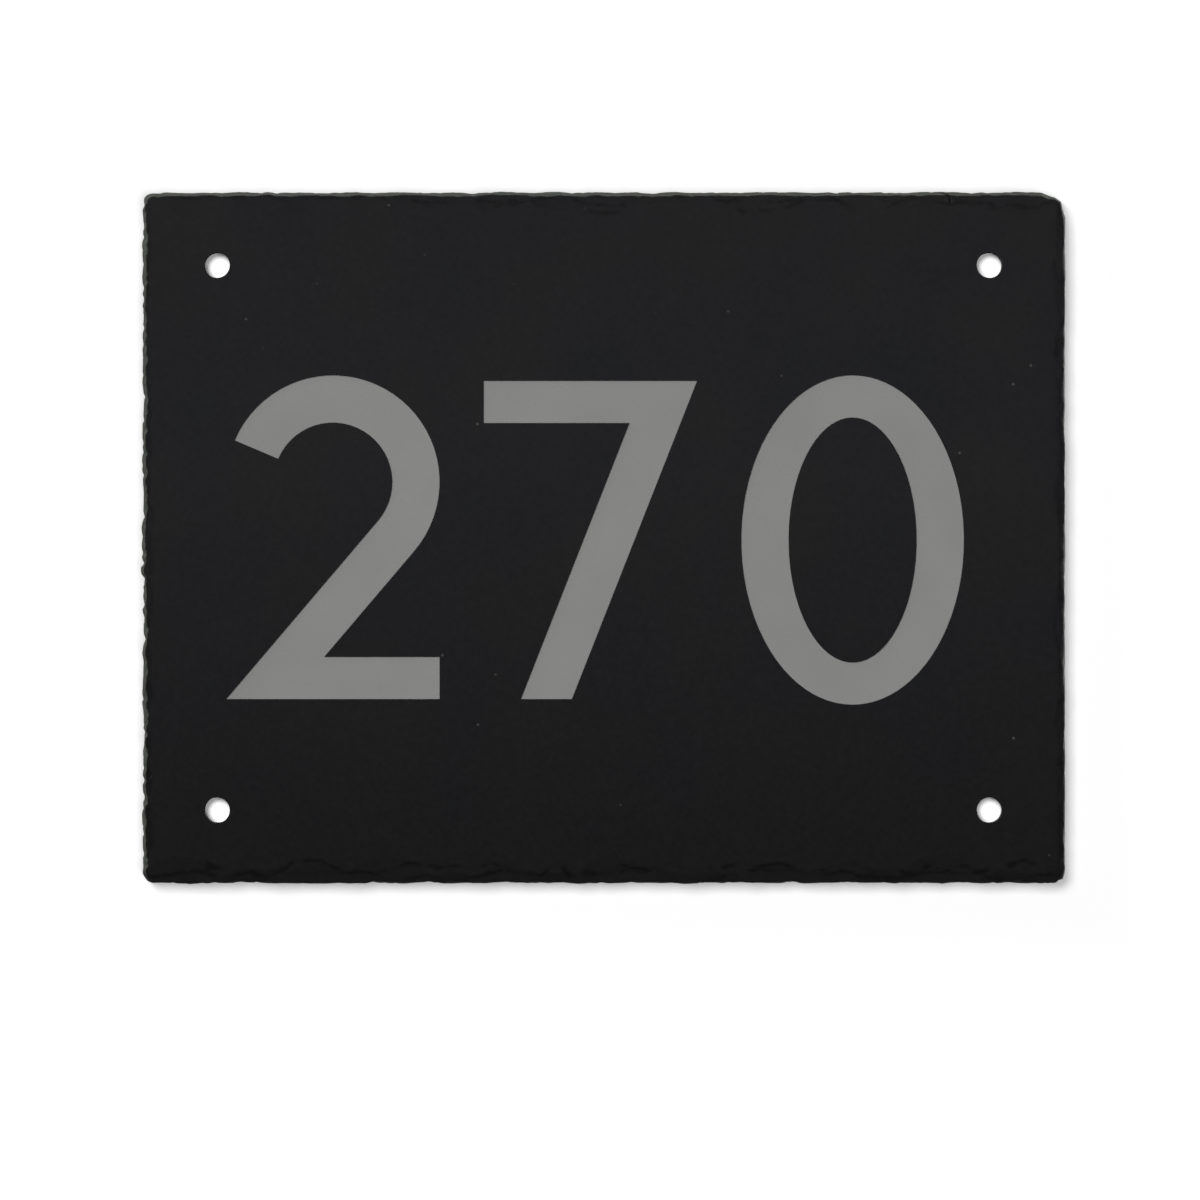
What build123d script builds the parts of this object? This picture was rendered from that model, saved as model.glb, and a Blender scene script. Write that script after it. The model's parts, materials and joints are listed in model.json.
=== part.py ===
from build123d import *
import math
import os
import random
from collections import namedtuple

# House number plaque: one slab of riven slate with hand-dressed edges, four drilled screw holes
# and an engraved number. Millimetres. The origin is at the middle of the back, which lies on the
# wall: +Z is up, the face looks along -Y and the back is the plane y = 0.

# Slab
PLATE_WIDTH = 200.0
PLATE_HEIGHT = 150.0
PLATE_THICKNESS = 6.0

# Screw holes: from the slab's nominal edges to the middle of each hole
HOLE_DIAMETER = 5.5
HOLE_INSET_SIDE = 16.75
HOLE_INSET_END = 16.25

# Broken outline: it wanders in by a nick, and the sides lean back, the top and the left ones more, so
# that the front is smaller than the back by each side's draft and a little unevenness
TOP_DRAFT = 0.9
BOTTOM_DRAFT = 0.3
LEFT_DRAFT = 0.9
RIGHT_DRAFT = 0.3
DRAFT_WANDER = 0.2
NICK_PITCH = 3.0
TOP_NICK = 0.25
BOTTOM_NICK = 0.35
LEFT_NICK = 0.5
RIGHT_NICK = 0.15

# Corners, knocked off by these lengths along both edges
TOP_LEFT_BREAK = 2.7
TOP_RIGHT_BREAK = 4.4
BOTTOM_LEFT_BREAK = 3.0
BOTTOM_RIGHT_BREAK = 2.6

# Flake scars of the dressing iron along the front edge: their mean width along the edge, how far
# they run in over the face, and how far they drop down the side
TOP_FLAKE = 10.0
BOTTOM_FLAKE = 13.0
LEFT_FLAKE = 6.0
RIGHT_FLAKE = 9.0
TOP_REACH = 3.4
BOTTOM_REACH = 4.0
LEFT_REACH = 1.2
RIGHT_REACH = 1.6
FLAKE_DROP = 0.55
FLAKE_OVERLAP = 2.5

# Smaller scars on the edge of the back, with whole stretches between them
BACK_FLAKE = 8.0
BACK_REACH = 1.1
BACK_DROP = 0.8
BACK_FLAKE_GAP = 7.0

# Engraved number
ENGRAVING_DEPTH = 0.3
FIGURE_HEIGHT = 68.6
FIGURE_STROKE = 10.2
BAR_STROKE = 9.1
ROUND_OVERSHOOT = 1.2
FIGURE_GAP = 9.5
TWO_WIDTH = 46.0
SEVEN_WIDTH = 46.0
SEVEN_FOOT = 8.0
ZERO_WIDTH = 48.0
NUMBER_SHIFT_X = -1.75
NUMBER_SHIFT_Z = -0.5

# Angle of the open end of the two's round head, in degrees from its right
TWO_OPENING = 157.0

# Cutting tools run this far past the stone
TOOL_OVERRUN = 1.0

# How unevenly the iron fell: the smallest and largest share of a mean size, how far a nick may
# stray from its place as a share of the pitch, and how much deeper a corner may break
UNEVEN = (0.6, 1.4)
NICK_STRAY = 0.25
CORNER_ROUGHNESS = 0.2

# Points that round off a knocked-off corner, and passes in which neighbouring scars are cut
CORNER_POINTS = 4
SCAR_PASSES = 3

BACK = Plane(origin=(0, 0, 0), x_dir=(1, 0, 0), z_dir=(0, -1, 0))
FRONT = BACK.offset(PLATE_THICKNESS)
ENGRAVED_FLOOR = FRONT.offset(-ENGRAVING_DEPTH)

# The four sides in the order of a walk round the face, each with the corner at its far end
Side = namedtuple("Side", "name turn length stand draft nick flake reach corner")
LEVEL = (PLATE_WIDTH, PLATE_HEIGHT / 2)
UPRIGHT = (PLATE_HEIGHT, PLATE_WIDTH / 2)
SIDES = [
    Side("bottom", 0, *LEVEL, BOTTOM_DRAFT, BOTTOM_NICK, BOTTOM_FLAKE, BOTTOM_REACH, BOTTOM_RIGHT_BREAK),
    Side("right", 90, *UPRIGHT, RIGHT_DRAFT, RIGHT_NICK, RIGHT_FLAKE, RIGHT_REACH, TOP_RIGHT_BREAK),
    Side("top", 180, *LEVEL, TOP_DRAFT, TOP_NICK, TOP_FLAKE, TOP_REACH, TOP_LEFT_BREAK),
    Side("left", 270, *UPRIGHT, LEFT_DRAFT, LEFT_NICK, LEFT_FLAKE, LEFT_REACH, BOTTOM_LEFT_BREAK),
]


def on_side(side, along, inward):
    """A point of the face: along a side from its middle, and inward from its nominal line."""
    return Vector(along, inward - side.stand).rotate(Axis.Z, side.turn)


def broken_edge(before, side, after, drafted):
    """One side's wandering line, and the knocked-off corner at its end, drafted or not."""
    places = random.Random(f"{side.name} places")
    depths = random.Random(f"{side.name} depths")
    drafts = random.Random(f"{side.name} drafts")
    start = before.corner + drafted * before.draft - side.length / 2
    end = side.length / 2 - side.corner - drafted * after.draft
    count = max(2, round(side.length / NICK_PITCH))
    step = (end - start) / count
    points = []
    for i in range(count):
        along = start + step * (i + 0.5 + places.uniform(-NICK_STRAY, NICK_STRAY))
        draft = drafted * (side.draft + DRAFT_WANDER * drafts.random())
        points.append(on_side(side, along, draft + side.nick * depths.random()))
    for i in range(CORNER_POINTS):
        swing = math.radians(90 * (i + 0.5) / CORNER_POINTS)
        size = side.corner * (1 - CORNER_ROUGHNESS * depths.random())
        inward = drafted * side.draft + side.corner - size * math.cos(swing)
        points.append(on_side(side, end + size * math.sin(swing), inward))
    return points


def broken_outline(plane, drafted):
    """The slab's outline on its back or, drafted, on its front."""
    points = []
    for before, side, after in zip(SIDES[-1:] + SIDES[:-1], SIDES, SIDES[1:] + SIDES[:1]):
        points += broken_edge(before, side, after, drafted)
    return plane * make_face(Polyline(*points, close=True))


def ball_offset(chord, bite):
    """How far outside an edge a ball's middle lies when it bites this deep over this chord."""
    return chord**2 / (8 * bite) - bite / 2


def front_scars(side):
    """Overlapping flake scars of uneven size along one side of the front."""
    draw = random.Random(f"{side.name} front scars")
    edge = side.draft + side.nick / 2
    along = -side.length / 2
    scars = []
    while along < side.length / 2:
        size = draw.uniform(*UNEVEN)
        width = side.flake * size + FLAKE_OVERLAP
        out = ball_offset(width, side.reach * size * draw.uniform(*UNEVEN))
        up = ball_offset(width, FLAKE_DROP * size)
        along += side.flake * size / 2
        middle = on_side(side, along, edge - out)
        along += side.flake * size / 2
        scars.append(FRONT * Pos(middle.X, middle.Y, up) * Sphere(math.hypot(out, up, width / 2)))
    return scars


def back_scars(side):
    """Single flake scars along one side of the back."""
    draw = random.Random(f"{side.name} back scars")
    along = -side.length / 2
    scars = []
    while along < side.length / 2:
        size = draw.uniform(*UNEVEN)
        width = BACK_FLAKE * size
        out = ball_offset(width, BACK_REACH * size * draw.uniform(*UNEVEN))
        up = ball_offset(width, BACK_DROP * size)
        along += width / 2
        middle = on_side(side, along, side.nick / 2 - out)
        along += width / 2 + BACK_FLAKE_GAP * draw.uniform(*UNEVEN)
        scars.append(BACK * Pos(middle.X, middle.Y, -up) * Sphere(math.hypot(out, up, width / 2)))
    return scars


def two():
    """A round head, a straight diagonal to the left foot and a flat base."""
    outer = TWO_WIDTH / 2
    inner = outer - FIGURE_STROKE
    head = Vector(outer, FIGURE_HEIGHT + ROUND_OVERSHOOT - outer)
    slope = math.degrees(math.atan2(head.Y, head.X) - math.asin(inner / head.length))
    start = slope - 90
    tangent = Vector(1, 0).rotate(Axis.Z, start)
    opening = Vector(1, 0).rotate(Axis.Z, TWO_OPENING)
    shoulder = head + tangent * outer
    knee = shoulder.X - (shoulder.Y - BAR_STROKE) / math.tan(math.radians(slope))
    base = [(0, 0), (TWO_WIDTH, 0), (TWO_WIDTH, BAR_STROKE), (knee, BAR_STROKE), shoulder]
    outline = [
        Polyline(*base),
        CenterArc(head, outer, start, TWO_OPENING - start),
        Line(head + opening * outer, head + opening * inner),
        CenterArc(head, inner, TWO_OPENING, start - TWO_OPENING),
        Line(head + tangent * inner, (0, 0)),
    ]
    return make_face(outline)


def seven():
    """A flat bar, and a straight leaning stem from its right end."""
    run = SEVEN_WIDTH - SEVEN_FOOT - FIGURE_STROKE
    stem = FIGURE_STROKE * math.hypot(FIGURE_HEIGHT, run) / FIGURE_HEIGHT
    lean = (SEVEN_WIDTH - SEVEN_FOOT - stem) / FIGURE_HEIGHT
    under = FIGURE_HEIGHT - BAR_STROKE
    points = [
        (0, FIGURE_HEIGHT),
        (0, under),
        (SEVEN_FOOT + lean * under, under),
        (SEVEN_FOOT, 0),
        (SEVEN_FOOT + stem, 0),
        (SEVEN_WIDTH, FIGURE_HEIGHT),
    ]
    return make_face(Polyline(*points, close=True))


def zero():
    """An upright oval ring."""
    half_width = ZERO_WIDTH / 2
    half_height = FIGURE_HEIGHT / 2 + ROUND_OVERSHOOT
    ring = Ellipse(half_width, half_height)
    ring -= Ellipse(half_width - FIGURE_STROKE, half_height - BAR_STROKE)
    return Pos(half_width, FIGURE_HEIGHT / 2) * ring


def engraving():
    """What the engraving tool takes out: the number's figures side by side."""
    figures = [(two(), TWO_WIDTH), (seven(), SEVEN_WIDTH), (zero(), ZERO_WIDTH)]
    block = sum(width for _, width in figures) + FIGURE_GAP * (len(figures) - 1)
    left = NUMBER_SHIFT_X - block / 2
    foot = NUMBER_SHIFT_Z - FIGURE_HEIGHT / 2
    cuts = []
    for figure, width in figures:
        cuts.append(extrude(ENGRAVED_FLOOR * Pos(left, foot) * figure, ENGRAVING_DEPTH + TOOL_OVERRUN))
        left += width + FIGURE_GAP
    return cuts


def screw_holes():
    """What the drill takes out: four straight holes, in from the corners."""
    spacing_x = PLATE_WIDTH - 2 * HOLE_INSET_SIDE
    spacing_z = PLATE_HEIGHT - 2 * HOLE_INSET_END
    drill = Pos(0, 0, PLATE_THICKNESS / 2) * Cylinder(HOLE_DIAMETER / 2, PLATE_THICKNESS + 2 * TOOL_OVERRUN)
    return [BACK * place * drill for place in GridLocations(spacing_x, spacing_z, 2, 2)]


def slate_plaque():
    """The whole slab: broken outline, flake scars, holes and number."""
    slab = loft([broken_outline(BACK, False), broken_outline(FRONT, True)], ruled=True)
    scars = []
    for side in SIDES:
        scars += front_scars(side)
    for side in SIDES:
        scars += back_scars(side)
    for first in range(SCAR_PASSES):
        slab = slab - scars[first::SCAR_PASSES]
    return slab - screw_holes() - engraving()


os.makedirs("parts", exist_ok=True)
plaque = slate_plaque()
export_step(plaque, "parts/slate_plaque.step")
print(f"slate_plaque {plaque.volume:.0f} mm3, {plaque.bounding_box().size}")
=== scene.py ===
# %% [markdown]
# # A house number plaque of dressed slate
#
# The real object is one slab of slate, 200 x 150 x 6 mm. It was split along its grain, so both faces are
# nearly flat, and its four edges were broken to size with a dressing iron, which left them ragged. Four
# plain holes take wall screws, and a pale grey number is engraved in the face.
#
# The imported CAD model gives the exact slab. This lesson makes a copy of it, cuts the copy into a finer
# mesh, weathers that mesh into stone, and gives it two procedural finishes, a wall, light and a camera.

# %% The frame and its box
import json
import math
from collections import namedtuple

import bmesh
import bpy
import numpy as np
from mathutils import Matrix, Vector, noise


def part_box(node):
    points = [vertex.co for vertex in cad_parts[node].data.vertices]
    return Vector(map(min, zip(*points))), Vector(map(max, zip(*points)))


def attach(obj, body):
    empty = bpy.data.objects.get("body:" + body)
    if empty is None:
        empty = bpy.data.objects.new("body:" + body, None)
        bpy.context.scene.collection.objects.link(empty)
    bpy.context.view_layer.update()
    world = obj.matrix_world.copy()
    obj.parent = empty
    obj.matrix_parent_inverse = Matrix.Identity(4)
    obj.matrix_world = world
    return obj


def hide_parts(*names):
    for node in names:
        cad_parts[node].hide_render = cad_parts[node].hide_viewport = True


MM = 0.001

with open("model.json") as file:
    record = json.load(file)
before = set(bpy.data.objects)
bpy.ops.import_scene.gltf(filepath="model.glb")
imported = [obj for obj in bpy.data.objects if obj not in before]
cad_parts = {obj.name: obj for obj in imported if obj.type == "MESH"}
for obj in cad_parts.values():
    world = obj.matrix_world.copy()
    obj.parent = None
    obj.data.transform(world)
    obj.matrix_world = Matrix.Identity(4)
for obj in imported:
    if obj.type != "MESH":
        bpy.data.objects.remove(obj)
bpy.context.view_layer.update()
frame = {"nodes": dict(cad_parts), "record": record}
low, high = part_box("slate_plaque")
print("CAD slab from", [round(c / MM, 2) for c in low], "to", [round(c / MM, 2) for c in high], "mm")

# %% [markdown]
# ## A copy of the slab to work on
#
# The CAD object itself is never changed. Its mesh is loose triangles, so the copy is merged first. Coplanar
# triangles are then dissolved into whole faces, because long thin triangles cut up badly later on.

# %% Copy, merge and dissolve
MERGE = 0.002 * MM
FLAT_ANGLE = math.radians(0.2)


def work_on(piece):
    """Selects one piece and nothing else, so that operators act on it alone."""
    bpy.ops.object.select_all(action="DESELECT")
    piece.select_set(True)
    bpy.context.view_layer.objects.active = piece


def slab_now():
    """The slab's mesh as it stands in edit mode."""
    return bmesh.from_edit_mesh(slab.data)


slab = bpy.data.objects.new("plaque_slab", frame["nodes"]["slate_plaque"].data.copy())
bpy.context.scene.collection.objects.link(slab)
slab.data.materials.clear()
work_on(slab)
bpy.ops.mesh.customdata_custom_splitnormals_clear()
bpy.ops.object.mode_set(mode="EDIT")
bpy.ops.mesh.select_mode(type="FACE")
bpy.ops.mesh.select_all(action="SELECT")
bpy.ops.mesh.remove_doubles(threshold=MERGE)
bpy.ops.mesh.dissolve_limited(angle_limit=FLAT_ANGLE)
print("whole faces:", len(slab_now().faces))

# %% [markdown]
# ## A grid of cuts
#
# Stone needs small faces where it is rough and few where it is flat. Subdividing would cut every face
# alike. Bisect cuts only the faces that show, along a plane, so the faces that should stay whole are hidden
# first. The smooth front gets a wide grid, the rougher back a closer one, and the dressed strips along the
# edges get the finest.

# %% Cutting tools
CUT_SNAP = 0.05 * MM
FRONT_STRIP = 6.5 * MM
BACK_STRIP = 2.5 * MM
FACING_BACK = 0.9
X, Y, Z = 0, 1, 2


def is_back(face):
    return face.normal.y > FACING_BACK


def in_strip(face, axis):
    """Whether a face lies in the dressed strip at either end of an axis."""
    from_edge = high[axis] - abs(face.calc_center_median()[axis])
    return from_edge < (BACK_STRIP if is_back(face) else FRONT_STRIP)


def show_only(wanted):
    """Hides every face but the wanted ones."""
    for face in slab_now().faces:
        face.select_set(not wanted(face))
    bpy.ops.mesh.hide(unselected=False)


def cut_at(axis, places):
    """Cuts the faces that show with a plane at each of these places along an axis."""
    way = Vector()
    way[axis] = 1
    for place in places:
        bpy.ops.mesh.select_all(action="SELECT")
        bpy.ops.mesh.bisect(plane_co=way * place, plane_no=way, threshold=CUT_SNAP)


def evenly(start, end, step):
    """Places between two ends, about a step apart."""
    return np.linspace(start, end, round(abs(end - start) / step) + 1)[1:-1]


print("dressed strips:", FRONT_STRIP / MM, "mm wide in front and", BACK_STRIP / MM, "mm behind")

# %% The grids on both faces
FRONT_STEP = 5.01 * MM
BACK_STEP = 1.09 * MM

# The strips' inner borders are cut first, so that no face lies partly in a strip
for axis in (X, Z):
    cut_at(axis, [high[axis] - FRONT_STRIP, FRONT_STRIP - high[axis]])
show_only(is_back)
for axis in (X, Z):
    cut_at(axis, [high[axis] - BACK_STRIP, BACK_STRIP - high[axis]])
bpy.ops.mesh.reveal()
for behind, step in ((False, FRONT_STEP), (True, BACK_STEP)):
    show_only(lambda face: is_back(face) == behind and not in_strip(face, X) and not in_strip(face, Z))
    for axis in (X, Z):
        cut_at(axis, evenly(-high[axis], high[axis], step))
    bpy.ops.mesh.reveal()
print("faces with the grids:", len(slab_now().faces))

# %% The fine grid along the edges
FINE_STEP = 0.55 * MM
LEAF_STEP = 0.4 * MM
FACING_STRAIGHT = 0.98


def is_flat(face):
    """Whether a face belongs to the flat front or back, and not to a side or a flake scar."""
    return abs(face.normal.y) >= FACING_STRAIGHT


for across, along in ((Z, X), (X, Z)):
    show_only(lambda face: in_strip(face, across))
    for side in (1, -1):
        cut_at(across, side * evenly(high[across] - FRONT_STRIP, high[across], FINE_STEP))
    cut_at(along, evenly(-high[along], high[along], FINE_STEP))
    bpy.ops.mesh.reveal()
show_only(lambda face: (in_strip(face, X) or in_strip(face, Z)) and not is_flat(face))
cut_at(Y, evenly(low.y, high.y, LEAF_STEP))
bpy.ops.mesh.reveal()
print("faces with the fine grid:", len(slab_now().faces))

# %% [markdown]
# ## Room for a crack
#
# A short crack starts at the top edge, near the right corner, and curves down like a quarter of a circle.
# It is narrower than the fine grid, so the few faces around it are cut once more, as closely as it needs.

# %% The finest cuts
CRACK_X = 72.4 * MM
CRACK_RADIUS = 2.4 * MM
CRACK_DROP = 0.2 * MM
CRACK_ROOM = 0.7 * MM
CRACK_STEP = 0.15 * MM

crack_left = CRACK_X - CRACK_ROOM
crack_right = CRACK_X + CRACK_RADIUS + CRACK_ROOM
crack_foot = high.z - CRACK_DROP - CRACK_RADIUS


def near_crack(face):
    middle = face.calc_center_median()
    beside = crack_left < middle.x < crack_right and middle.z > crack_foot - CRACK_ROOM
    return beside and middle.y < low.y + CRACK_ROOM


show_only(near_crack)
cut_at(X, evenly(crack_left, crack_right, CRACK_STEP))
cut_at(Z, evenly(crack_foot - CRACK_ROOM, high.z, CRACK_STEP))
bpy.ops.mesh.reveal()
print("faces in all:", len(slab_now().faces))
bpy.ops.object.mode_set(mode="OBJECT")

# %% [markdown]
# ## What each face belongs to
#
# The finishes and the texture map treat the riven front, the back, the engraved figures, the drilled holes
# and the broken sides differently. They could be picked out by hand in edit mode. Here they are told apart
# by place and normal, now, while the slab is still exactly as drawn.

# %% Reading the mesh
mesh = slab.data


def read(items, name, width, kind=np.float64):
    """One value of each item of the mesh, in rows of this width."""
    values = np.empty(len(items) * width, kind)
    items.foreach_get(name, values)
    return values.reshape(-1, width) if width > 1 else values


drawn = read(mesh.vertices, "co", 3)
face_middle = read(mesh.polygons, "center", 3)
face_normal = read(mesh.polygons, "normal", 3)
hole_spots = [mount["pos_m"] for mount in frame["record"]["mounts"] if mount["kind"] == "bore"]
hole_gaps = [np.hypot(face_middle[:, X] - hole[X], face_middle[:, Z] - hole[Z]) for hole in hole_spots]
print("points:", len(drawn), "faces:", len(face_middle), "holes:", len(hole_spots))

# %% Sorting the faces
HOLE_ROOM = 3.2 * MM
FIGURE_ROOM = 15 * MM
STEEP = 0.35
ENGRAVED = 0.05 * MM

steep = np.abs(face_normal[:, Y]) < STEEP
face_inset = np.minimum(high.x - np.abs(face_middle[:, X]), high.z - np.abs(face_middle[:, Z]))
in_hole = steep & (np.min(hole_gaps, axis=0) < HOLE_ROOM)
sunk = (face_middle[:, Y] > low.y + ENGRAVED) & (face_normal[:, Y] < STEEP)
in_figure = sunk & (face_inset > FIGURE_ROOM) & ~in_hole
on_side = steep & ~in_hole & ~in_figure
on_back = ~in_hole & ~in_figure & ~on_side & (face_normal[:, Y] > 0)
on_front = ~in_hole & ~in_figure & ~on_side & ~on_back
print("front", on_front.sum(), "back", on_back.sum(), "sides", on_side.sum(), end=" ")
print("figures", in_figure.sum(), "holes", in_hole.sum())

# %% [markdown]
# ## The texture map
#
# The finishes are procedural, but a game engine wants them as pictures, and a picture needs a map. Blender
# could unwrap the slab by itself. Laid out as given here, the front gets most of the room, the figures get
# an island of their own, so that their outline stays sharp, and no face ends up without width.

# %% Islands on the map, in pixels, with scales in pixels to the millimetre
Island = namedtuple("Island", "left foot scale")
MAP_SIDE = 1024.0
FRONT_ISLAND = Island(left=8, foot=386, scale=4.2)
BACK_ISLAND = Island(left=8, foot=40, scale=2.0)
FIGURE_ISLAND = Island(left=440, foot=90, scale=3.4)
SIDE_ISLAND = Island(left=862, foot=392, scale=3.1)
SIDE_PITCH = 36
HOLE_ISLAND = Island(left=440, foot=30, scale=4.0)
HOLE_PITCH = 82

loop_vertex = read(mesh.loops, "vertex_index", 1, np.int32)
loop_face = np.repeat(np.arange(len(mesh.polygons)), read(mesh.polygons, "loop_total", 1, np.int32))
spot = drawn[loop_vertex]
from_left = spot[:, X] - low.x
from_face = spot[:, Y] - low.y
from_foot = spot[:, Z] - low.z
pixel = np.zeros((len(spot), 2))


def lay(faces, island, across, up, shift=0):
    """Puts the corners of these faces on an island, or on a copy of it that lies to the right."""
    corners = faces[loop_face]
    pixel[corners, 0] = island.left + shift + across[corners] / MM * island.scale
    pixel[corners, 1] = island.foot + up[corners] / MM * island.scale


print("corners to lay on the map:", len(spot))

# %% Front, back and figures
WALL_SHARE = 0.5 * MM

lay(on_front, FRONT_ISLAND, from_left, from_foot)
lay(on_back, BACK_ISLAND, high.x - spot[:, X], from_foot)

# The figures' upright walls have no width from the front, so their upper corners are pushed outwards
wall_corner = (in_figure & steep)[loop_face] & (spot[:, Y] < low.y + ENGRAVED)
figure_low = spot[in_figure[loop_face]].min(axis=0) - WALL_SHARE
pushed = spot - face_normal[loop_face] * (wall_corner * WALL_SHARE)[:, None]
lay(in_figure, FIGURE_ISLAND, pushed[:, X] - figure_low[X], pushed[:, Z] - figure_low[Z])
print("corners pushed outwards:", wall_corner.sum())

# %% Sides and holes
level_side = np.abs(face_normal[:, Z]) > np.abs(face_normal[:, X])
sides = [
    (on_side & level_side & (face_normal[:, Z] > 0), from_left),
    (on_side & level_side & (face_normal[:, Z] <= 0), from_left),
    (on_side & ~level_side & (face_normal[:, X] > 0), from_foot),
    (on_side & ~level_side & (face_normal[:, X] <= 0), from_foot),
]
for i, (faces, along) in enumerate(sides):
    lay(faces, SIDE_ISLAND, from_face, along, shift=i * SIDE_PITCH)

# A hole is rolled out flat. Each corner's turn is counted from its face's own, so no face spans the seam
for i, (gap, hole) in enumerate(zip(hole_gaps, hole_spots)):
    middle = face_middle[loop_face] - hole
    middle_turn = np.arctan2(middle[:, Z], middle[:, X])
    out = spot - hole
    turn = np.arctan2(out[:, Z], out[:, X])
    turn = middle_turn + (turn - middle_turn + math.pi) % (2 * math.pi) - math.pi
    around = (turn + math.pi) * np.hypot(out[:, X], out[:, Z])
    lay(in_hole & (gap < HOLE_ROOM), HOLE_ISLAND, around, from_face, shift=i * HOLE_PITCH)

filled = pixel / MAP_SIDE
bake_map = mesh.uv_layers.new(name="OFBake")
bake_map.data.foreach_set("uv", filled.ravel())
print("map filled from", filled.min(axis=0).round(3), "to", filled.max(axis=0).round(3))

# %% [markdown]
# ## From drawing to stone
#
# Slate is a stack of thin leaves. Where the iron broke it, the leaves end at different depths, so the sides
# are ledged and the outline is nicked. All of this only takes stone away, so the slab stays inside its CAD
# box.
#
# Sculpting would do it by hand. Moving the points by smooth random heights gives the same, and the same
# again on every run.

# %% Random heights, ledges and shares
FALLOFF = 1.0
FINER = 2.0


def heights(points, sizes, octaves, seed):
    """Smooth random heights from about -1 to 1, for swells of these sizes in x, y and z."""
    places = points / (np.array(sizes) * MM) + seed
    return np.array([noise.fractal(Vector(place), FALLOFF, FINER, octaves) for place in places])


def share(values, none, full):
    """How far each value has gone from none to full, eased at both ends, from 0 to 1."""
    part = np.clip((values - none) / (full - none), 0, 1)
    return part * part * (3 - 2 * part)


def ledged(values, count, slope=0.1):
    """Turns smooth heights into flat ledges, so many from bottom to top, from 0 to 1."""
    level = np.clip(0.5 + 0.5 * values, 0, 1) * count
    step = np.floor(level)
    return np.clip((step + share(level - step, 0.5 - slope, 0.5 + slope)) / count, 0, 1)


# %% Where each point lies
REACH_OF_A_SIDE = 2.0 * MM

point_gap_x = high.x - np.abs(drawn[:, X])
point_gap_z = high.z - np.abs(drawn[:, Z])
inset = np.minimum(point_gap_x, point_gap_z)
pull_x = np.exp(-point_gap_x / REACH_OF_A_SIDE)
pull_z = np.exp(-point_gap_z / REACH_OF_A_SIDE)
nearness = np.hypot(pull_x, pull_z)
inward = np.zeros_like(drawn)
inward[:, X] = -np.sign(drawn[:, X]) * pull_x / nearness
inward[:, Z] = -np.sign(drawn[:, Z]) * pull_z / nearness


def by_side(top, bottom, left, right):
    """A value that differs from side to side, run together at the corners."""
    level = np.where(drawn[:, Z] > 0, top, bottom)
    upright = np.where(drawn[:, X] > 0, right, left)
    return (level * pull_z + upright * pull_x) / (pull_x + pull_z)


moved = drawn.copy()
rim = inset < FRONT_STRIP
print("points near the edge:", rim.sum(), "of", len(drawn))

# %% Ledges, steps and nicks, with sizes and depths in millimetres
LEDGE_SIZES = (8, 0.9, 8)
LEDGE_COUNT = 4
STEP_SIZES = (13, 30, 13)
STEP_COUNT = 3
NICK_SIZES = (1.7, 6, 1.7)
NICK_FLOOR = 0.03
NICK_SHARPNESS = 2.2

ledge_depth = by_side(top=0.18, bottom=0.2, left=0.18, right=0.2)
step_depth = by_side(top=0.15, bottom=0.18, left=0.2, right=0.06)
nick_depth = by_side(top=0.18, bottom=0.2, left=0.42, right=0.08)
ledges = ledged(heights(drawn[rim], LEDGE_SIZES, octaves=3, seed=3.7), LEDGE_COUNT)
steps = ledged(heights(drawn[rim], STEP_SIZES, octaves=2, seed=11.3), STEP_COUNT)
nicks = heights(drawn[rim], NICK_SIZES, octaves=2, seed=23.9)
nicks = np.clip((nicks - NICK_FLOOR) * NICK_SHARPNESS, 0, 1)
taken = ledges * ledge_depth[rim] + steps * step_depth[rim] + nicks * nick_depth[rim]
print("ledges, steps and nicks: up to", round(taken.max(), 2), "mm deep")

# %% A rough top right corner, and a burr on the left
JAGGED_CORNER = 6 * MM
JAGGED_FULL = 3.6 * MM
JAGGED_DEPTH = 0.2
SHAVED_CORNER = 2.9 * MM
SHAVED_FULL = 2.03 * MM
SHAVED_DEPTH = 0.3
BURR_Z = -7 * MM
BURR_HALF = 1.4 * MM
BURR_FULL = 0.7 * MM
BURR_HEIGHT = 0.3

from_corner = np.hypot(high.x - drawn[rim, X], high.z - drawn[rim, Z])
taken += nicks * share(from_corner, JAGGED_CORNER, JAGGED_FULL) * JAGGED_DEPTH
taken += share(from_corner, SHAVED_CORNER, SHAVED_FULL) * SHAVED_DEPTH
burr = share(np.abs(drawn[rim, Z] - BURR_Z), BURR_HALF, BURR_FULL) * (drawn[rim, X] < 0)
taken += burr * (-BURR_HEIGHT - taken)
print("points on the burr:", (burr > 0).sum())

# %% Taking the stone off the sides
SHIFT_NONE = 3.4 * MM
SHIFT_FULL = 1.6 * MM
BOX_GAP = 0.03 * MM

taken *= share(inset[rim], SHIFT_NONE, SHIFT_FULL) * MM
taken = np.maximum(taken, BOX_GAP - inset[rim])
moved[rim] += inward[rim] * taken[:, None]
print("stone off the sides: up to", round(taken.max() / MM, 2), "mm")
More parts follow.
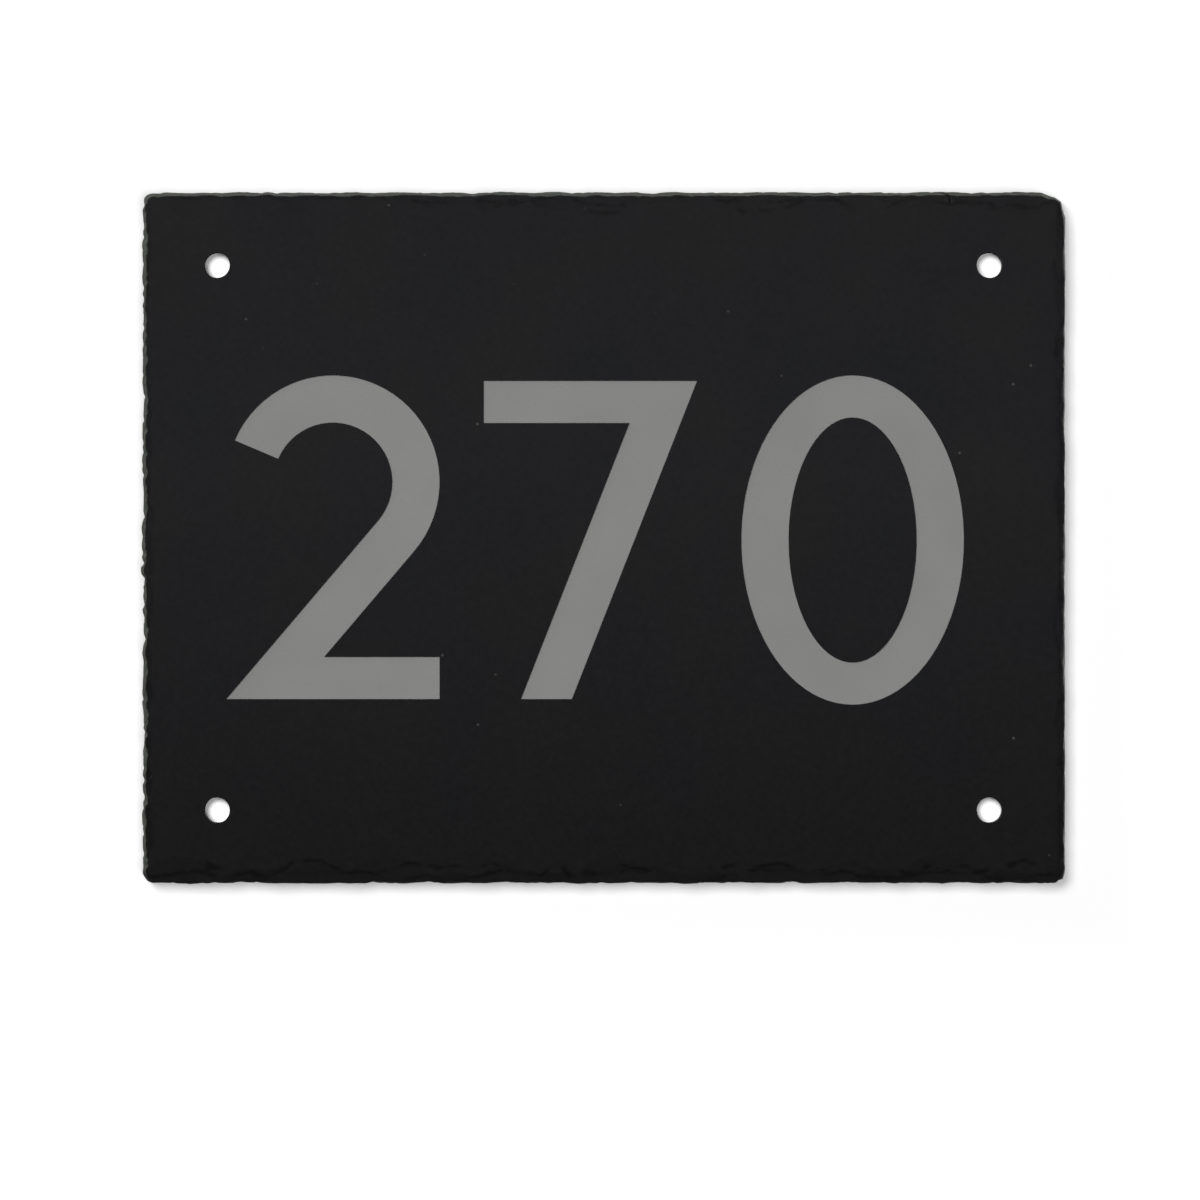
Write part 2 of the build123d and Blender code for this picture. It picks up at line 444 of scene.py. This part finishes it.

# %% [markdown]
# ## Flakes along the edge of the face
#
# Each blow of the iron also lifted the top leaves off the face beside the edge. That leaves long, shallow
# flakes, one inside another, and a broken crease where a leaf ends, which the finish darkens as painted
# shade. Cutting them out one by one would take hundreds of cuts. Here a random line says how far in each
# leaf is gone, and the points beyond it sink.

# %% Thin flakes and their creases, with sizes, reaches and depths in millimetres
FLAKE_SIZES = (11, 20, 11)
FLAKE_SWING = 0.9
RAGGED_SIZES = (1.8, 20, 1.8)
RAGGED_SWING = 0.5
RAGGED_SEED = 5
DASH_SIZES = (5, 20, 5)
DASH_NONE = -0.05
DASH_FULL = 0.2
DASH_SEED = 9
FLAKE_LIP = 0.35 * MM
CREASE_HALF = 0.36 * MM
FLAKE_ROOT = 1.5 * MM
FLAKE_FULL = 0.6 * MM
TOP_LEFT_REACH = 1.6
TOP_MORE_REACH = 1.8
TOP_MORE_START = -50 * MM
TOP_MORE_FULL = -25 * MM

front_share = share(drawn[:, Y], low.y + FLAKE_ROOT, low.y + FLAKE_FULL)
top_reach = TOP_LEFT_REACH + TOP_MORE_REACH * share(drawn[:, X], TOP_MORE_START, TOP_MORE_FULL)
flake_reach = by_side(top=top_reach, bottom=3.8, left=1.6, right=1.7)
# The creases' painted shade is strongest along the bottom, where the lips face down, away from the light
crease_share = by_side(top=0.5, bottom=1.0, left=0.3, right=0.5)
flaked = np.zeros(len(drawn))
creased = np.zeros(len(drawn))
for seed, depth, part_of_reach in ((41.3, 0.11, 1.0), (67.9, 0.09, 0.62)):
    long_line = heights(drawn[rim], FLAKE_SIZES, octaves=2, seed=seed)
    ragged = heights(drawn[rim], RAGGED_SIZES, octaves=2, seed=seed + RAGGED_SEED)
    dashes = heights(drawn[rim], DASH_SIZES, octaves=2, seed=seed + DASH_SEED)
    reach = flake_reach[rim] * part_of_reach * (1 + FLAKE_SWING * long_line) + RAGGED_SWING * ragged
    past_lip = reach * MM - inset[rim]
    flaked[rim] += share(past_lip, -FLAKE_LIP, FLAKE_LIP) * depth * MM
    crease = np.exp(-((past_lip / CREASE_HALF) ** 2)) * share(dashes, DASH_NONE, DASH_FULL)
    creased[rim] = np.maximum(creased[rim], crease * crease_share[rim])
moved[:, Y] += flaked * front_share
print("flakes up to", round(flaked.max() / MM, 2), "mm deep")

# %% [markdown]
# ## The crack
#
# The crack is a groove along the arc that the finest cuts made room for. A point's angle round the arc's
# middle says how far down the crack it lies, so that the groove can fade in at the top and out at its tip.

# %% The crack at the top edge
CRACK_HALF = 0.36 * MM
CRACK_FULL = 0.144 * MM
CRACK_DEPTH = 0.55 * MM
CRACK_FADE_IN = (0, 0.3)
CRACK_FADE_OUT = (1.15, 0.95)

crack_across = drawn[:, X] - CRACK_X
crack_above = drawn[:, Z] - crack_foot
down = np.arctan2(crack_across, crack_above) / (math.pi / 2)
from_crack = np.abs(np.hypot(crack_across, crack_above) - CRACK_RADIUS)
cracked = share(from_crack, CRACK_HALF, CRACK_FULL)
cracked *= share(down, *CRACK_FADE_IN)
cracked *= share(down, *CRACK_FADE_OUT)
moved[:, Y] += cracked * CRACK_DEPTH * front_share
# The crack joins the creases, and is darkened with them as painted shade
creased = np.maximum(creased, cracked) * front_share
print("points in the crack:", (cracked > 0.5).sum())

# %% [markdown]
# ## The swell of the split faces
#
# A block of slate never splits quite flat. The face, which is the better side, swells by about a tenth of a
# millimetre. The back was left as it came, in low terraces where the split jumped from leaf to leaf.

# %% Swell and terraces, with sizes and heights in millimetres
FRONT_SWELL = (38, 50, 30)
FRONT_SWELL_HEIGHT = 0.07
BACK_SWELL = (26, 50, 20)
BACK_SWELL_HEIGHT = 0.12
SWELL_ROOT = 3 * MM
SWELL_FULL = 0.5 * MM
TERRACE_SIZES = (60, 50, 34)
TERRACE_CONTRAST = 1.6
TERRACE_COUNT = 5
TERRACE_SLOPE = 0.03
TERRACE_HEIGHT = 1.0

swell_share = share(drawn[:, Y], low.y + SWELL_ROOT, low.y + SWELL_FULL)
back_share = share(drawn[:, Y], high.y - SWELL_ROOT, high.y - SWELL_FULL)
front_swell = heights(drawn, FRONT_SWELL, octaves=3, seed=83.1) * FRONT_SWELL_HEIGHT * MM
back_swell = heights(drawn, BACK_SWELL, octaves=3, seed=97.7) * BACK_SWELL_HEIGHT * MM
terraces = TERRACE_CONTRAST * heights(drawn, TERRACE_SIZES, octaves=5, seed=131.9)
terraces = ledged(terraces, TERRACE_COUNT, TERRACE_SLOPE)
moved[:, Y] += (front_swell - front_swell.min()) * swell_share
moved[:, Y] -= (back_swell.max() - back_swell) * back_share
moved[:, Y] -= terraces * TERRACE_HEIGHT * MM * back_share
mesh.vertices.foreach_set("co", moved.ravel())
mesh.update()
print("front swell", round(np.ptp(front_swell) / MM, 2), "mm,", end=" ")
print("back swell", round(np.ptp(back_swell) / MM, 2), "mm")

# %% [markdown]
# ## Rounding the raw breaks
#
# Broken slate soon loses its sharpest points. Two passes of Smooth Vertices take them off along the edges.
# The flat faces, the figures and the holes are left out, and so is the crack, which has to stay narrow.

# %% Smoothing the edges
ROUNDING = 0.5
ROUNDING_PASSES = 2

work_on(slab)
bpy.ops.object.mode_set(mode="EDIT")
bpy.ops.mesh.select_mode(type="VERT")
bpy.ops.mesh.select_all(action="DESELECT")
points = slab_now().verts
for point, whole in zip(points, (inset > SHIFT_NONE) | (cracked > 0)):
    point.select_set(not whole)
bpy.ops.mesh.vertices_smooth(factor=ROUNDING, repeat=ROUNDING_PASSES)
print("points rounded:", sum(point.select for point in points))
bpy.ops.object.mode_set(mode="OBJECT")

# %% [markdown]
# ## Smooth shading, wear and painted light
#
# Smooth shading rounds the swells, and edges sharper than the given angle stay crisp. The finish needs to
# know where the stone is freshly broken, which is wherever it leans away from the split faces, where it is
# creased, which gets painted shade, and which part lies behind. The broken value is also weighted by side,
# full on the top and left and less on the bottom and right, as painted light. Each point keeps these as
# values of its own, in attributes, which a material can read.

# %% Shading, and the values for wear and painted light
CRISP_ANGLE = math.radians(36)
FRESH_LEAN = 0.7
FRESH_LEAN_LESS_BEHIND = 0.45
FRESH_LEAN_RANGE = 0.27
FRESH_FADE = 1 * MM

work_on(slab)
bpy.ops.object.shade_smooth_by_angle(angle=CRISP_ANGLE)
lean = np.hypot(*read(mesh.vertices, "normal", 3)[:, [X, Z]].T)
fresh_lean = FRESH_LEAN - FRESH_LEAN_LESS_BEHIND * back_share
broken = share(lean, fresh_lean, fresh_lean + FRESH_LEAN_RANGE)
broken *= share(inset, FRONT_STRIP, FRONT_STRIP - FRESH_FADE)
# Painted light: the top and left edges get the full pale tint, the bottom and right less
broken *= by_side(top=1.0, bottom=0.4, left=1.0, right=0.6) * (1 - cracked)
wear_and_painted_light_values = {"broken": broken, "creased": creased, "behind": back_share}
for name, values in wear_and_painted_light_values.items():
    mesh.attributes.new(name, "FLOAT", "POINT").data.foreach_set("value", values)
    print(name, "points:", (values > 0.5).sum())

# %% [markdown]
# ## Tools for the finishes
#
# A finish is a tree of nodes. It could be wired up by hand in the shader editor. A small class keeps each
# step to one line here: a node is added, fed from sockets or constants, and gives back its output.

# %% Node tools


class Finish:
    """A material whose nodes are added one after another."""

    def __init__(self, name):
        self.material = bpy.data.materials.new(name)
        self.material.use_nodes = True
        self.tree = self.material.node_tree
        self.shader = self.tree.nodes["Principled BSDF"]
        self.place = self.add("ShaderNodeTexCoord").outputs["Object"]

    def feed(self, socket, value):
        """Links a socket to an output, or sets it to a constant."""
        if isinstance(value, bpy.types.NodeSocket):
            self.tree.links.new(value, socket)
        else:
            socket.default_value = value

    def add(self, kind, links=None, **settings):
        node = self.tree.nodes.new(kind)
        for name, value in settings.items():
            setattr(node, name, value)
        for socket, value in (links or {}).items():
            self.feed(node.inputs[socket], value)
        return node

    def noise(self, scale, detail=3.0, stretch=None, roughness=0.5):
        vector = self.place
        if stretch:
            vector = self.add("ShaderNodeMapping", {"Vector": vector, "Scale": stretch}).outputs["Vector"]
        links = {"Vector": vector, "Scale": scale, "Detail": detail, "Roughness": roughness}
        return self.add("ShaderNodeTexNoise", links).outputs["Fac"]

    def point_value(self, name):
        """A value that the points of the mesh keep."""
        return self.add("ShaderNodeAttribute", attribute_name=name).outputs["Fac"]

    def between(self, value, start, end, first=0.0, last=1.0):
        """Maps a range of a value onto another range."""
        links = {"Value": value, "From Min": start, "From Max": end, "To Min": first, "To Max": last}
        return self.add("ShaderNodeMapRange", links).outputs["Result"]

    def maths(self, operation, a, b):
        return self.add("ShaderNodeMath", {0: a, 1: b}, operation=operation).outputs["Value"]

    def mix(self, amount, a, b, blend="MIX"):
        """Mixes two colours."""
        links = {"Factor": amount, 6: a, 7: b}
        return self.add("ShaderNodeMix", links, data_type="RGBA", blend_type=blend).outputs[2]

    def tint(self, value, *stops):
        """Turns a value into colours, given as (position, (r, g, b))."""
        ramp = self.add("ShaderNodeValToRGB", {"Fac": value})
        elements = ramp.color_ramp.elements
        while len(elements) < len(stops):
            elements.new(0.5)
        for element, (position, colour) in zip(elements, stops):
            element.position = position
            element.color = (*colour, 1)
        return ramp.outputs["Color"]

    def shade(self, **sockets):
        """Feeds the shader's own sockets."""
        for name, value in sockets.items():
            self.feed(self.shader.inputs[name.replace("_", " ")], value)


# %% [markdown]
# ## The slate finish
#
# Split slate is matt and nearly black, with faint blue and olive clouds, a fine grain and a few pale
# mineral specks. Towards its foot the colour is darkened as painted shade. A photograph of slate would be
# quicker, but would repeat and stretch over the edges. Noise has no edges. All the patterns read Object
# coordinates in metres, so a noise scale of 40 makes clouds of about 25 mm.

# %% The split face
CLOUD_SCALE = 38
CLOUD_LOW = 0.32
CLOUD_HIGH = 0.68
CLOUD_BLUE = (0.0035, 0.0037, 0.0048)
CLOUD_MIDDLE = (0.0040, 0.0040, 0.0048)
CLOUD_OLIVE = (0.0045, 0.0043, 0.0046)
GRAIN_SCALE = 2600
GRAIN_DARK = (0.9, 0.9, 0.9)
GRAIN_LIGHT = (1.1, 1.1, 1.1)
PAINTED_SHADE_FROM = 15 * MM
PAINTED_SHADE_TO = -75 * MM
PAINTED_SHADE_SHARE = 0.73
PAINTED_SHADE_BLACK = (0.0, 0.0, 0.0, 1)

slate = Finish("riven_slate")
clouds = slate.noise(CLOUD_SCALE, detail=4)
base = slate.tint(clouds, (CLOUD_LOW, CLOUD_BLUE), (0.5, CLOUD_MIDDLE), (CLOUD_HIGH, CLOUD_OLIVE))
grain = slate.noise(GRAIN_SCALE, detail=3, roughness=0.7)
base = slate.mix(1.0, base, slate.tint(grain, (0.3, GRAIN_DARK), (0.7, GRAIN_LIGHT)), "MULTIPLY")
level = slate.add("ShaderNodeSeparateXYZ", {"Vector": slate.place}).outputs["Z"]
# Painted shade: the colour is darkened towards the foot of the plaque
base = slate.mix(slate.between(level, PAINTED_SHADE_FROM, PAINTED_SHADE_TO, 0.0, PAINTED_SHADE_SHARE), base, PAINTED_SHADE_BLACK)
print("split face:", len(slate.tree.nodes), "nodes")

# %% [markdown]
# ## Dust, painted shade in the creases, and fresh breaks
#
# The back is dusty, and the creases and the crack are darkened as painted shade. The broken edges are paler
# and greenish, fully so on the top and left and less on the bottom and right as painted light, and show the
# leaves as thin lines, because the noise is squeezed across the thickness. The wear and painted light values
# say where each of these goes.

# %% The back, the creases' painted shade and the broken edges
DUST_BLUE = (0.026, 0.027, 0.030)
DUST_OLIVE = (0.038, 0.038, 0.037)
CREASE_PAINTED_SHADE = (0.001, 0.001, 0.001, 1)
CREASE_SHADE_SHARE = 0.9
LEAF_SCALES = (70, 2600, 70)
FRESH_DARK = (0.035, 0.038, 0.033)
FRESH_MIDDLE = (0.064, 0.069, 0.061)
FRESH_PALE = (0.1, 0.105, 0.091)

behind_here = slate.point_value("behind")
dusty = slate.tint(clouds, (CLOUD_LOW, DUST_BLUE), (CLOUD_HIGH, DUST_OLIVE))
base = slate.mix(behind_here, base, dusty)
creased_here = slate.point_value("creased")
# Painted shade: the creases and the crack are darkened almost to black
base = slate.mix(slate.maths("MULTIPLY", creased_here, CREASE_SHADE_SHARE), base, CREASE_PAINTED_SHADE)
broken_and_lit_here = slate.point_value("broken")
leaves = slate.noise(1.0, detail=4, stretch=LEAF_SCALES, roughness=0.6)
fresh = slate.tint(leaves, (0.3, FRESH_DARK), (0.5, FRESH_MIDDLE), (0.72, FRESH_PALE))
base = slate.mix(broken_and_lit_here, base, fresh)
print("with wear:", len(slate.tree.nodes), "nodes")

# %% Mineral specks
SPECK_SCALE = 260.0
SPECK_EDGE = 0.10
SPECK_CORE = 0.04
SPECK_NONE = 0.93
SPECK_FULL = 0.95
SPECK_SHARE = 0.35
SPECK_PALE = (0.07, 0.07, 0.065, 1)

# Each cell of the pattern has a random colour, and only the few with the most red keep their speck
speck_cells = slate.add("ShaderNodeTexVoronoi", {"Vector": slate.place, "Scale": SPECK_SCALE})
speck = slate.between(speck_cells.outputs["Distance"], SPECK_EDGE, SPECK_CORE)
chosen = slate.add("ShaderNodeSeparateColor", {"Color": speck_cells.outputs["Color"]}).outputs["Red"]
speck = slate.maths("MULTIPLY", speck, slate.between(chosen, SPECK_NONE, SPECK_FULL))
base = slate.mix(slate.maths("MULTIPLY", speck, SPECK_SHARE), base, SPECK_PALE)
print("with specks:", len(slate.tree.nodes), "nodes")

# %% [markdown]
# ## The slate's sheen and relief
#
# Relief finer than the mesh is left to Bump nodes, which only turn the light. One carries the fine grain,
# the cleavage of the split face and the leaves of the broken edges, a tenth of a millimetre high. The other
# carries the small splits of the back: Snap turns smooth noise into steps.

# %% Roughness and bumps
SHEEN_SCALE = 900
SHEEN_ROUGHNESS = (0.75, 0.81)
CREASE_ROUGHNESS = 0.2
GRAIN_HEIGHT = 0.35
CLEAVAGE_SCALES = (140, 900, 420)
RELIEF_STRENGTH = 0.16
RELIEF_HEIGHT = 0.12 * MM
SPLIT_SCALES = (50, 50, 80)
SPLIT_STEP = 0.05
SPLIT_STRENGTH = 0.6
SPLIT_HEIGHT = 1 * MM
SLATE_SPECULAR = 0.09

rough = slate.between(slate.noise(SHEEN_SCALE, detail=3), 0.3, 0.7, *SHEEN_ROUGHNESS)
rough = slate.maths("ADD", rough, slate.maths("MULTIPLY", creased_here, CREASE_ROUGHNESS))
cleavage = slate.noise(1.0, detail=4, stretch=CLEAVAGE_SCALES, roughness=0.6)
relief = slate.maths("ADD", slate.maths("MULTIPLY", grain, GRAIN_HEIGHT), cleavage)
relief = slate.maths("ADD", relief, slate.maths("MULTIPLY", leaves, broken_and_lit_here))
relief_links = {"Strength": RELIEF_STRENGTH, "Distance": RELIEF_HEIGHT, "Height": relief}
normal = slate.add("ShaderNodeBump", relief_links).outputs["Normal"]
splits = slate.noise(1.0, detail=5, stretch=SPLIT_SCALES, roughness=0.62)
splits = slate.maths("MULTIPLY", slate.maths("SNAP", splits, SPLIT_STEP), behind_here)
split_links = {"Strength": SPLIT_STRENGTH, "Distance": SPLIT_HEIGHT, "Height": splits, "Normal": normal}
normal = slate.add("ShaderNodeBump", split_links).outputs["Normal"]
slate.shade(Base_Color=base, Roughness=rough, Normal=normal, Specular_IOR_Level=SLATE_SPECULAR)
print("slate finish:", len(slate.tree.nodes), "nodes")

# %% [markdown]
# ## The engraved grey
#
# The blasted floor of the figures is an even, dull mid grey, with the fine stipple that grit leaves. It
# could be painted on one material through a mask. A second material on the engraved faces keeps the outline
# exactly as it was cut.

# %% Engraved grey
STIPPLE_SCALE = 3200
STIPPLE_DARK = (0.115, 0.115, 0.114)
STIPPLE_LIGHT = (0.132, 0.132, 0.130)
PATCH_SCALE = 60
PATCH_DARK = (0.96, 0.96, 0.96)
PATCH_LIGHT = (1.03, 1.03, 1.03)
GREY_ROUGHNESS = (0.8, 0.92)
PIT_STRENGTH = 0.3
PIT_HEIGHT = 0.05 * MM
GREY_SPECULAR = 0.2

etched = Finish("engraved_grey")
stipple = etched.noise(STIPPLE_SCALE, detail=2, roughness=0.7)
patches = etched.noise(PATCH_SCALE, detail=3)
grey = etched.tint(stipple, (0.3, STIPPLE_DARK), (0.7, STIPPLE_LIGHT))
grey = etched.mix(1.0, grey, etched.tint(patches, (0.3, PATCH_DARK), (0.7, PATCH_LIGHT)), "MULTIPLY")
dull = etched.between(stipple, 0.3, 0.7, *GREY_ROUGHNESS)
pit_links = {"Strength": PIT_STRENGTH, "Distance": PIT_HEIGHT, "Height": stipple}
pits = etched.add("ShaderNodeBump", pit_links).outputs["Normal"]
etched.shade(Base_Color=grey, Roughness=dull, Normal=pits, Specular_IOR_Level=GREY_SPECULAR)

mesh.materials.append(slate.material)
mesh.materials.append(etched.material)
mesh.polygons.foreach_set("material_index", in_figure.astype(np.int32))
mesh.update()
print("engraved faces:", in_figure.sum())

# %% The slab stands for its CAD node
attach(slab, "root")
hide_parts("slate_plaque")
print(slab.name, "has", len(mesh.polygons), "faces and", len(mesh.materials), "finishes")

# %% [markdown]
# ## The wall
#
# The plaque lies flat on a plain white wall, which shows through its holes and takes its soft shadow. A
# wall would hide the plaque from behind, so this one has only a front: seen from its back it is clear, and
# it lets light through.
#
# The lights hardly reach the wall inside the holes, where the photograph shows it white with a dark crescent
# at the upper left, so it glows more at the lower right of each: painted light there, and painted shadow at
# the upper left, which is left without the glow. The holes are evenly spaced, and Wrap folds the wall's
# coordinates until all four lie on one spot, from which the glow is measured.

# %% A white wall
WALL_SIDE = 1.2
WALL_GAP = 0.2 * MM
WALL_WHITE = (0.5, 0.5, 0.5, 1)
WALL_ROUGHNESS = 0.9

bpy.ops.object.select_all(action="DESELECT")
bpy.ops.mesh.primitive_plane_add(size=WALL_SIDE, location=(0, WALL_GAP, 0), rotation=(math.pi / 2, 0, 0))
wall = bpy.context.active_object
wall.name = "white_wall"
bpy.ops.object.transform_apply(location=True, rotation=True, scale=True)

plaster = Finish("white_plaster")
plaster.shade(Base_Color=WALL_WHITE, Roughness=WALL_ROUGHNESS, Specular_IOR_Level=0.0)
print("wall", WALL_SIDE, "m wide,", WALL_GAP / MM, "mm behind the slab")

# %% The wall's glow, and painted light in the holes
WALL_GLOW = 0.15
WALL_GLOW_START = 3.8 * MM
WALL_GLOW_FULL = 5.0 * MM
HOLE_PAINTED_LIGHT = 0.65
HOLE_PAINTED_LIGHT_FULL = 1.9 * MM
HOLE_PAINTED_LIGHT_END = 2.9 * MM
HOLE_PAINTED_LIGHT_SHIFT = 0.5 * MM
GLOW_WHITE = (1, 1, 1, 1)

low_spot = np.min(hole_spots, axis=0)
high_spot = np.max(hole_spots, axis=0)
wall_place = plaster.add("ShaderNodeSeparateXYZ", {"Vector": plaster.place})
wrapped = plaster.add("ShaderNodeCombineXYZ")
for axis in (X, Z):
    wrap_links = {0: wall_place.outputs[axis], 1: high_spot[axis] - low_spot[axis], 2: 0.0}
    one_hole = plaster.add("ShaderNodeMath", wrap_links, operation="WRAP")
    plaster.feed(wrapped.inputs[axis], one_hole.outputs["Value"])
glow_spot = (high_spot[X] + HOLE_PAINTED_LIGHT_SHIFT, 0, high_spot[Z] - HOLE_PAINTED_LIGHT_SHIFT)
glow_links = {0: wrapped.outputs["Vector"], 1: glow_spot}
from_glow = plaster.add("ShaderNodeVectorMath", glow_links, operation="DISTANCE").outputs["Value"]
# Painted light in each hole, brightest at the lower right; the upper left gets no glow, as painted shadow
hole_painted_light = plaster.between(from_glow, HOLE_PAINTED_LIGHT_END, HOLE_PAINTED_LIGHT_FULL, 0.0, HOLE_PAINTED_LIGHT)
wall_glow = plaster.between(from_glow, WALL_GLOW_START, WALL_GLOW_FULL, 0.0, WALL_GLOW)
glow = plaster.maths("MAXIMUM", hole_painted_light, wall_glow)
plaster.shade(Emission_Color=GLOW_WHITE, Emission_Strength=glow)
print("glow:", HOLE_PAINTED_LIGHT, "in the holes,", WALL_GLOW, "around the plaque")

# %% The wall's single side
seen = plaster.add("ShaderNodeLightPath").outputs["Is Camera Ray"]
turned = plaster.add("ShaderNodeNewGeometry").outputs["Backfacing"]
solid = plaster.maths("SUBTRACT", seen, turned)
clear = plaster.add("ShaderNodeBsdfTransparent")
one_sided = plaster.add("ShaderNodeMixShader", {0: solid, 1: clear.outputs[0], 2: plaster.shader.outputs[0]})
plaster.feed(plaster.tree.nodes["Material Output"].inputs["Surface"], one_sided.outputs[0])
wall.data.materials.append(plaster.material)
print("wall finish:", len(plaster.tree.nodes), "nodes")

# %% [markdown]
# ## Studio light
#
# One large soft light stands in front, a little to the upper left, so the shadow falls to the lower right.
# A weaker one opposite fills that shadow, and throws a fainter one to the left and top. A third rakes over
# the left and top edges and makes them bright. A fourth, on the right and behind the wall, does the same for
# the right edge and the back, and a fifth fills the back, for a look from the side or from behind.

# %% Lights


def soft_light(name, place, size, watts):
    """A square area light that looks at the middle of the plaque and that the camera doesn't see."""
    bpy.ops.object.light_add(type="AREA", location=place)
    light = bpy.context.active_object
    light.name = name
    light.data.size = size
    light.data.energy = watts
    light.rotation_euler = (-Vector(place)).to_track_quat("-Z", "Y").to_euler()
    light.visible_camera = False


soft_light("key_light", place=(-0.55, -2.0, 0.55), size=0.9, watts=56)
soft_light("front_fill", place=(0.5, -1.9, -0.5), size=0.7, watts=26)
soft_light("rake_light", place=(-1.2, -0.35, 1.2), size=0.5, watts=11)
soft_light("back_rake_light", place=(1.5, 0.6, 0.3), size=0.5, watts=50)
soft_light("back_fill", place=(-0.3, 1.5, 0.3), size=0.8, watts=8)

# %% [markdown]
# ## Surroundings
#
# Past the wall's edge the camera should see plain white, but a white world would flood the slate with light.
# The world has two backgrounds, and Light Path picks one: white for what the camera sees, and a faint grey
# for what lights the plaque. The Standard view keeps white white.

# %% White to look at, faint to light by
AMBIENT = 0.06
BACKDROP_WHITE = (1, 1, 1, 1)

world = bpy.context.scene.world or bpy.data.worlds.new("studio")
bpy.context.scene.world = world
world.use_nodes = True
nodes, links = world.node_tree.nodes, world.node_tree.links
nodes.clear()
ambient = nodes.new("ShaderNodeBackground")
ambient.inputs["Strength"].default_value = AMBIENT
backdrop = nodes.new("ShaderNodeBackground")
backdrop.inputs["Color"].default_value = BACKDROP_WHITE
path = nodes.new("ShaderNodeLightPath")
either = nodes.new("ShaderNodeMixShader")
surround = nodes.new("ShaderNodeOutputWorld")
links.new(path.outputs["Is Camera Ray"], either.inputs[0])
links.new(ambient.outputs[0], either.inputs[1])
links.new(backdrop.outputs[0], either.inputs[2])
links.new(either.outputs[0], surround.inputs["Surface"])
bpy.context.scene.view_settings.view_transform = "Standard"
print("ambient light:", AMBIENT)

# %% [markdown]
# ## The camera
#
# The photograph looks straight at the face from far away, so the camera has a long lens. The frame is
# 1200 pixels wide, in which the plaque measures 921, a little right of and above the middle.

# %% A long lens, straight on
FRAME_WIDTH = 258.6 * MM
FRAME_SHIFT_X = -0.69 * MM
FRAME_SHIFT_Z = -13.43 * MM
LENS = 250.0
SENSOR = 36.0
FARTHEST = 50

bpy.ops.object.camera_add()
camera = bpy.context.active_object
camera.data.lens = LENS
camera.data.sensor_width = SENSOR
distance = LENS / SENSOR * FRAME_WIDTH
camera.location = (FRAME_SHIFT_X, low.y - distance, FRAME_SHIFT_Z)
camera.rotation_euler = (math.pi / 2, 0, 0)
camera.data.clip_end = FARTHEST
bpy.context.scene.camera = camera
print("camera", round(distance, 2), "m in front of the face")
